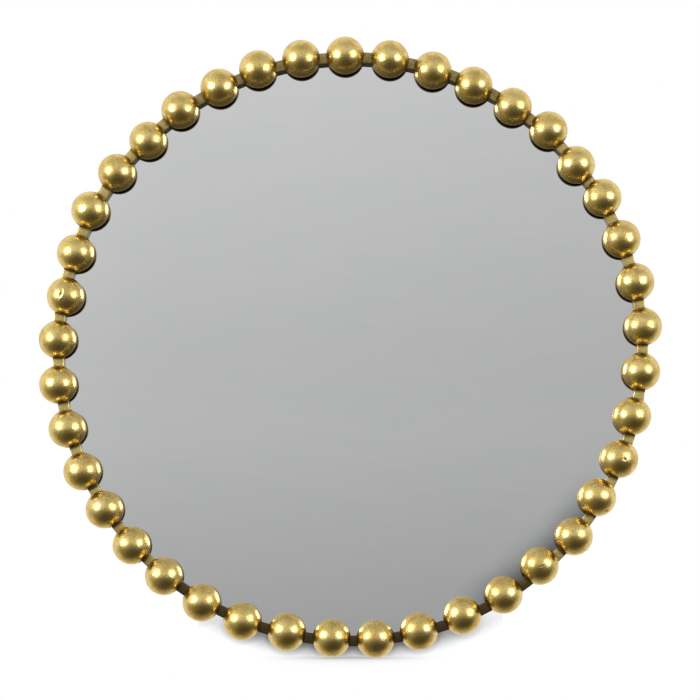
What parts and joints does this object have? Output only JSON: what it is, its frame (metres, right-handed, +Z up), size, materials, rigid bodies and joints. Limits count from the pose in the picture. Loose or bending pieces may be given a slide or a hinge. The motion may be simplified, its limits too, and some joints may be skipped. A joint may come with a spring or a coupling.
{
  "type": "round wall mirror",
  "caption": "Round flat wall mirror framed by a ring of hollow gilt balls on a flat metal hoop, with swinging D-ring hangers and turn buttons behind.",
  "frame": {"origin": "centre of the ring on the wall plane, which is the rear rim of the band", "axes": "+Z up, the glass faces -Y and the wall lies towards +Y, +X to the right of someone who faces the mirror"},
  "size_m": [0.8169, 0.0625, 0.8157],
  "materials": {
    "antique_gold": "rubbed antique gold leaf",
    "black_steel": "satin",
    "mirror": "silvered behind",
    "packing_card": "matte",
    "fibreboard": "raw board",
    "zinc_steel": "bright zinc"
  },
  "bodies": {
    "root": {"ball_01": "antique_gold", "ball_02": "antique_gold", "ball_03": "antique_gold", "ball_04": "antique_gold", "ball_05": "antique_gold", "ball_06": "antique_gold", "ball_07": "antique_gold", "ball_08": "antique_gold", "ball_09": "antique_gold", "ball_10": "antique_gold", "ball_11": "antique_gold", "ball_12": "antique_gold", "ball_13": "antique_gold", "ball_14": "antique_gold", "ball_15": "antique_gold", "ball_16": "antique_gold", "ball_17": "antique_gold", "ball_18": "antique_gold", "ball_19": "antique_gold", "ball_20": "antique_gold", "ball_21": "antique_gold", "ball_22": "antique_gold", "ball_23": "antique_gold", "ball_24": "antique_gold", "ball_25": "antique_gold", "ball_26": "antique_gold", "ball_27": "antique_gold", "ball_28": "antique_gold", "ball_29": "antique_gold", "ball_30": "antique_gold", "ball_31": "antique_gold", "ball_32": "antique_gold", "ball_33": "antique_gold", "ball_34": "antique_gold", "ball_35": "antique_gold", "ball_36": "antique_gold", "ball_37": "antique_gold", "ball_38": "antique_gold", "ball_39": "antique_gold", "ball_40": "antique_gold", "ball_41": "antique_gold", "hoop": "antique_gold", "rim_band": "antique_gold", "rebate_ring": "black_steel", "mirror_glass": "mirror", "packing_sheet": "packing_card", "back_board": "fibreboard", "turn_button_screws": "zinc_steel", "hanger_strap_left": "zinc_steel", "hanger_strap_right": "zinc_steel", "hanger_screws": "zinc_steel"},
    "turn_button_1": {"turn_button_1": "zinc_steel"},
    "turn_button_2": {"turn_button_2": "zinc_steel"},
    "turn_button_3": {"turn_button_3": "zinc_steel"},
    "turn_button_4": {"turn_button_4": "zinc_steel"},
    "turn_button_5": {"turn_button_5": "zinc_steel"},
    "turn_button_6": {"turn_button_6": "zinc_steel"},
    "d_ring_left": {"d_ring_left": "zinc_steel"},
    "d_ring_right": {"d_ring_right": "zinc_steel"}
  },
  "joints": [
    {"name": "turn_button_1_turn", "type": "hinge", "parent": "root", "child": "turn_button_1", "pos_m": [0.19182, -0.0085, 0.33224], "axis": [0, 1, 0], "range_deg": [-90, 90]},
    {"name": "turn_button_2_turn", "type": "hinge", "parent": "root", "child": "turn_button_2", "pos_m": [0.38364, -0.0085, 0], "axis": [0, 1, 0], "range_deg": [-90, 90]},
    {"name": "turn_button_3_turn", "type": "hinge", "parent": "root", "child": "turn_button_3", "pos_m": [0.19182, -0.0085, -0.33224], "axis": [0, 1, 0], "range_deg": [-90, 90]},
    {"name": "turn_button_4_turn", "type": "hinge", "parent": "root", "child": "turn_button_4", "pos_m": [-0.19182, -0.0085, -0.33224], "axis": [0, 1, 0], "range_deg": [-90, 90]},
    {"name": "turn_button_5_turn", "type": "hinge", "parent": "root", "child": "turn_button_5", "pos_m": [-0.38364, -0.0085, 0], "axis": [0, 1, 0], "range_deg": [-90, 90]},
    {"name": "turn_button_6_turn", "type": "hinge", "parent": "root", "child": "turn_button_6", "pos_m": [-0.19182, -0.0085, 0.33224], "axis": [0, 1, 0], "range_deg": [-90, 90]},
    {"name": "d_ring_left_swing", "type": "hinge", "parent": "root", "child": "d_ring_left", "pos_m": [-0.20875, -0.00555, 0.23911], "axis": [1, 0, 0], "range_deg": [0, 165]},
    {"name": "d_ring_right_swing", "type": "hinge", "parent": "root", "child": "d_ring_right", "pos_m": [0.20875, -0.00555, 0.23911], "axis": [1, 0, 0], "range_deg": [0, 165]}
  ]
}
